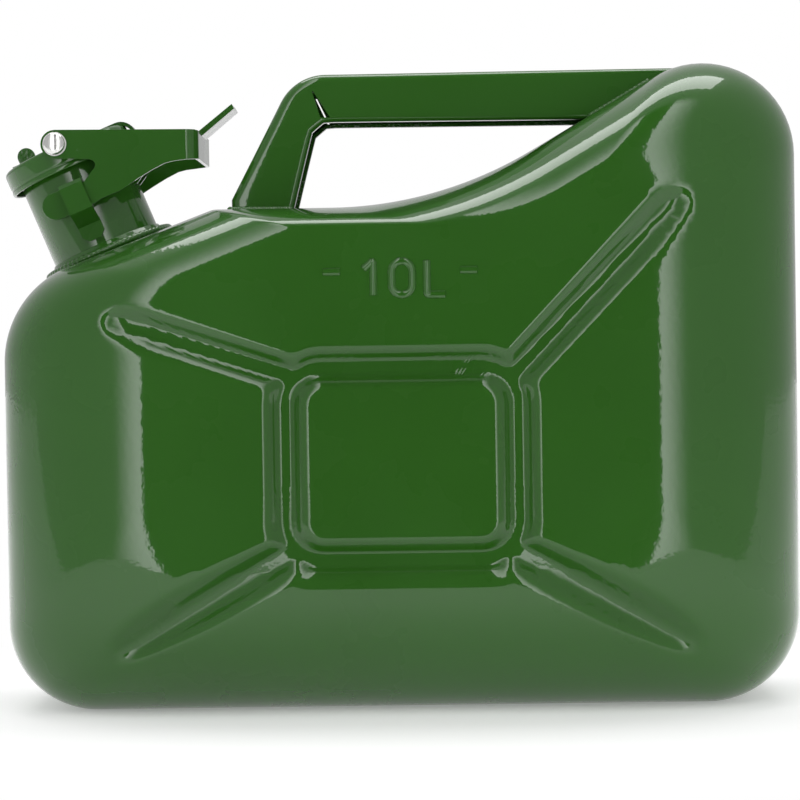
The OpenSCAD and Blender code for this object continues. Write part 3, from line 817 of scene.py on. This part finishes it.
def make_bead_tree():
    tree, given, result, named = geometry_tree("weld_bead", [
        ("Radius", "NodeSocketFloat", 0.0015), ("Scale Pitch", "NodeSocketFloat", 0.0016),
        ("Scale Depth", "NodeSocketFloat", 0.18), ("Unevenness", "NodeSocketFloat", 0.2),
        ("Step", "NodeSocketFloat", 0.0005), ("Seed", "NodeSocketFloat", 3.0),
        ("Finish", "NodeSocketMaterial", None)])
    resample = add_node(tree, "GeometryNodeResampleCurve", mode="LENGTH")
    tree.links.new(given.outputs["Geometry"], resample.inputs["Curve"])
    tree.links.new(given.outputs["Step"], resample.inputs["Length"])
    along = add_node(tree, "GeometryNodeSplineParameter").outputs["Length"]
    scale_count = math_node(tree, "DIVIDE", along, given.outputs["Scale Pitch"])
    turns = math_node(tree, "MULTIPLY", scale_count, math.pi)
    scales = math_node(tree, "ABSOLUTE", math_node(tree, "SINE", turns, 0.0), 0.0)
    drift = add_node(tree, "ShaderNodeTexNoise", noise_dimensions="4D")
    tree.links.new(given.outputs["Seed"], drift.inputs["W"])
    drift.inputs["Scale"].default_value = 160.0
    centred = math_node(tree, "SUBTRACT", drift.outputs["Fac"], 0.5)
    uneven = math_node(tree, "MULTIPLY", centred, given.outputs["Unevenness"])
    rise = math_node(tree, "SUBTRACT", scales, 0.6)
    swell = math_node(tree, "MULTIPLY", rise, given.outputs["Scale Depth"])
    factor = math_node(tree, "ADD", math_node(tree, "ADD", swell, uneven), 1.0)
    radius = math_node(tree, "MULTIPLY", factor, given.outputs["Radius"])
    section = add_node(tree, "GeometryNodeCurvePrimitiveCircle", mode="RADIUS")
    section.inputs["Resolution"].default_value = 10
    section.inputs["Radius"].default_value = 1.0
    sweep = add_node(tree, "GeometryNodeCurveToMesh")
    tree.links.new(resample.outputs[0], sweep.inputs["Curve"])
    tree.links.new(section.outputs[0], sweep.inputs["Profile Curve"])
    sweep.inputs["Fill Caps"].default_value = True
    tree.links.new(radius, sweep.inputs["Scale"])
    realize = add_node(tree, "GeometryNodeRealizeInstances")
    tree.links.new(sweep.outputs[0], realize.inputs[0])
    paint = add_node(tree, "GeometryNodeSetMaterial")
    tree.links.new(realize.outputs[0], paint.inputs["Geometry"])
    tree.links.new(given.outputs["Finish"], paint.inputs["Material"])
    tree.links.new(paint.outputs[0], result.inputs[0])
    return tree, named


bead_tree, bead_sockets = make_bead_tree()
print("bead tree takes", list(bead_sockets))


# %% [markdown]
# A path is an ordinary curve. The tree's inputs are set by the identifier of each socket before Blender
# first evaluates the object, and the result is turned into a plain mesh.

# %% Lay one bead along a path
def path_curve(name, strokes, closed=False):
    curve = bpy.data.curves.new(name, "CURVE")
    curve.dimensions = "3D"
    for points in strokes:
        spline = curve.splines.new("POLY")
        spline.points.add(len(points) - 1)
        for point, p in zip(spline.points, points):
            point.co = (*p, 1)
        spline.use_cyclic_u = closed
    made = bpy.data.objects.new(name, curve)
    bpy.context.collection.objects.link(made)
    return made


def run_tree(made, tree, sockets, values):
    nodes = made.modifiers.new("nodes", "NODES")
    nodes.node_group = tree
    for label, value in values.items():
        nodes[sockets[label]] = value
    made = apply_modifiers(made)
    face_outwards(made, 1e-6)
    made.data.shade_smooth()
    return made


def weld_bead(name, strokes, closed, radius_mm, pitch_mm, step_mm=0.5, depth=0.18, seed=3.0):
    made = run_tree(path_curve(name, strokes, closed), bead_tree, bead_sockets, {
        "Radius": radius_mm * MM, "Scale Pitch": pitch_mm * MM, "Scale Depth": depth, "Unevenness": 0.25,
        "Step": step_mm * MM, "Seed": seed, "Finish": worked_enamel})
    made.name = name
    return made


# %% Weld the seam, the neck and the handle
seam_inset = 0.9 * MM
hollow_corners = (3, 4)
seam_r = [r + (seam_inset if i in hollow_corners else -seam_inset) for i, r in enumerate(corner_r)]
seam_line = outline([seam_inset] * 6, seam_r)
seam = weld_bead("seam_bead", [[(p.x, 0, p.y) for p in seam_line]], True, 1.25, 1.8, 0.8, 0.10)
finish_piece(seam, "tank_seam_weld", "can", worked_enamel)

ring_r, ring_z, ring_steps = 28.6 * MM, 1.1 * MM, 120
ring_turns = [math.tau * k / ring_steps for k in range(ring_steps)]
neck_ring = [neck_frame @ Vector((ring_r * math.cos(turn), ring_r * math.sin(turn), ring_z))
             for turn in ring_turns]
neck_bead = weld_bead("neck_bead", [neck_ring], True, 1.5, 2.4, 0.6, 0.25, 5.0)
finish_piece(neck_bead, "neck_weld_bead", "can", worked_enamel)

foot_x0, foot_x1 = leg_foot - 0.4 * MM, leg_foot + leg_width + 2 * MM
foot_z = dip_z + 0.2 * MM
foot_path = [(foot_x1, -handle_half, foot_z), (foot_x0, -handle_half, foot_z),
             (foot_x0, handle_half, foot_z), (foot_x1, handle_half, foot_z)]
foot_bead = weld_bead("handle_foot_bead", [foot_path], False, 1.4, 2.2, 0.6, 0.25, 7.0)
finish_piece(foot_bead, "handle_foot_weld", "can", worked_enamel)

rear_start = Vector((inner_stop.x + 1 * MM, inner_stop.y + 0.6 * MM))
rear_length = 33 * MM
rear_y = handle_half + 0.3 * MM
rear_stop = rear_start + rear_length * Vector((math.cos(panel_slope), math.sin(panel_slope)))
rear_paths = [[(p.x, side * rear_y, p.y) for p in run(rear_start, rear_stop, 12)] for side in (-1, 1)]
rear_bead = weld_bead("handle_rear_bead", rear_paths, False, 1.2, 2.2, 0.6, 0.25, 9.0)
finish_piece(rear_bead, "handle_rear_weld", "can", worked_enamel)

# %% [markdown]
# ## The capacity mark
# The press leaves a plain raised mark of the can's capacity, a dash on each side of it. It is drawn as
# strokes with the same tree, with no scales and a smooth radius, and then flattened against the panel so
# that only a low rounded ridge stands out.

# %% Raise the capacity mark on both sides
mark_x, mark_z, mark_height = 2.0, 185.5, 17.5
stroke_half = 1.7
low_z = mark_z - mark_height / 2 + stroke_half
high_z = mark_z + mark_height / 2 - stroke_half
round_r = 4.3
dash_z = mark_z + 3
mark_sink = 0.25 * MM
mark_flatness = 0.66


def arc_points(cx, cz, radius, start, stop, steps=14):
    turns = [math.radians(start + (stop - start) * k / steps) for k in range(steps + 1)]
    return [(cx + radius * math.cos(turn), cz + radius * math.sin(turn)) for turn in turns]


zero = arc_points(0, high_z - round_r, round_r, 0, 180) + arc_points(0, low_z + round_r, round_r, 180, 360)
strokes = [
    [(-33, dash_z), (-26, dash_z)], [(24.5, dash_z), (31.5, dash_z)],
    [(-16, high_z - 3), (-12.3, high_z), (-12, high_z - 0.5), (-12, low_z)],
    zero + [zero[0]],
    [(10.5, high_z), (10.5, low_z + 0.3), (10.8, low_z), (18, low_z)],
]
for side, name in ((-1, "mark_front"), (1, "mark_back")):
    flip = -side
    lines = [[((mark_x + flip * x) * MM, 0, z * MM) for x, z in stroke] for stroke in strokes]
    mark = run_tree(path_curve(name, lines), bead_tree, bead_sockets, {
        "Radius": stroke_half * MM, "Scale Pitch": 1.0, "Scale Depth": 0.0, "Unevenness": 0.0,
        "Step": 0.6 * MM, "Seed": 1.0, "Finish": green_enamel})
    mark.name = name
    on_panel = Matrix.Translation((0, side * (half_depth - mark_sink), 0))
    place(mark, on_panel @ Matrix.Diagonal((1, mark_flatness, 1, 1)))
    finish_piece(mark, None, "can", green_enamel)

# %% [markdown]
# ## The studio
# The floor is plain and pale and the light is soft and even. Away from the can the camera sees the floor as
# pure white, so that its edge never shows. One wide soft box hangs over the can and shines down on it.

# %% Lay the floor and hang the light
near_can, far_from_can = 0.10, 0.32
floor_side, floor_front, floor_back = 6, -0.45, 8
floor_material, floor_tree, floor_shader, floor_vector = new_material(
    "pale_floor", Roughness=0.7, Emission_Strength=0.25)
floor_tone = noise(floor_tree, floor_vector, 3.0, 2.0)
floor_tree.links.new(mix_colour(floor_tree, floor_tone, (0.86, 0.86, 0.86, 1), (0.89, 0.89, 0.89, 1)),
                     floor_shader.inputs["Base Color"])
glow = add_node(floor_tree, "ShaderNodeEmission")
spread = add_node(floor_tree, "ShaderNodeVectorMath", operation="LENGTH")
floor_tree.links.new(floor_vector, spread.inputs[0])
fade = math_node(floor_tree, "MULTIPLY", ramp(floor_tree, spread.outputs["Value"], near_can, far_from_can),
                 add_node(floor_tree, "ShaderNodeLightPath").outputs["Is Camera Ray"])
blend = add_node(floor_tree, "ShaderNodeMixShader")
floor_tree.links.new(fade, blend.inputs[0])
floor_tree.links.new(floor_shader.outputs[0], blend.inputs[1])
floor_tree.links.new(glow.outputs[0], blend.inputs[2])
floor_tree.links.new(blend.outputs[0], floor_tree.nodes["Material Output"].inputs["Surface"])
floor_corners = [(-floor_side, floor_front, 0), (floor_side, floor_front, 0),
                 (floor_side, floor_back, 0), (-floor_side, floor_back, 0)]
floor = mesh_object("floor", floor_corners, [(0, 1, 2, 3)], smooth=False)
floor.data.materials.append(floor_material)

light = bpy.data.lights.new("top_box", "AREA")
light.shape = "RECTANGLE"
light.size, light.size_y = 1.4, 0.6
light.energy = 12
lamp = bpy.data.objects.new("top_box", light)
bpy.context.collection.objects.link(lamp)
lamp.location = (0.0, 0.30, 1.5)
lit_spot = Vector((0, 0, 0.14))
lamp.rotation_euler = (lit_spot - lamp.location).to_track_quat("-Z", "Y").to_euler()

# %% [markdown]
# The studio's walls are pale grey, with a bright window on each side of the camera and a dark gap behind it.
# A flat panel that faces the camera mirrors the dark gap and keeps its deep colour, while the rounded edges
# mirror the windows and turn pale. What the camera itself sees of the walls is white.

# %% Paint the studio's walls
dark_gap = (0.145, 0.165)
window_edge = (0.44, 0.13)
black_wall = (0.03, 0.03, 0.03, 1)
grey_wall = (0.55, 0.55, 0.55, 1)
window_light = (4.6, 4.6, 4.6, 1)
white = (1.0, 1.0, 1.0, 1)
world = bpy.data.worlds.new("studio")
bpy.context.scene.world = world
world.use_nodes = True
walls = world.node_tree
backdrop = walls.nodes["Background"]
direction = add_node(walls, "ShaderNodeSeparateXYZ")
walls.links.new(add_node(walls, "ShaderNodeTexCoord").outputs["Generated"], direction.inputs[0])
sideways = math_node(walls, "ABSOLUTE", direction.outputs["X"], 0.0)
in_front = ramp(walls, math_node(walls, "MULTIPLY", direction.outputs["Y"], -1.0), 0.15, 0.35)
beyond_dark = ramp(walls, sideways, *dark_gap)
windows = ramp(walls, sideways, *window_edge)
side_light = mix_colour(walls, windows, grey_wall, window_light)
front_light = mix_colour(walls, beyond_dark, black_wall, side_light)
wall_light = mix_colour(walls, in_front, grey_wall, front_light)
light_path = add_node(walls, "ShaderNodeLightPath")
walls.links.new(mix_colour(walls, light_path.outputs["Is Camera Ray"], wall_light, white),
                backdrop.inputs["Color"])
bpy.context.scene.view_settings.view_transform = "Standard"

# %% [markdown]
# The camera stands straight in front of the can's side, a little to the right and above the middle, and is
# rolled by less than a degree.

# %% Set up the camera
camera_data = bpy.data.cameras.new("camera")
camera = bpy.data.objects.new("camera", camera_data)
bpy.context.collection.objects.link(camera)
bpy.context.scene.camera = camera
camera_distance = 1.23
view_width = 0.3565
camera_data.sensor_width = 36
camera_data.lens = camera_data.sensor_width * camera_distance / view_width
camera.location = (0.017, -camera_distance, 0.158)
roll = math.radians(-0.87)
aim = Vector((-0.0006, 0, 0.1329))
facing = (aim - camera.location).to_track_quat("-Z", "Y")
camera.rotation_euler = (facing.to_matrix().to_4x4() @ Matrix.Rotation(roll, 4, "Z")).to_euler()
print("camera at", [round(c, 3) for c in camera.location])
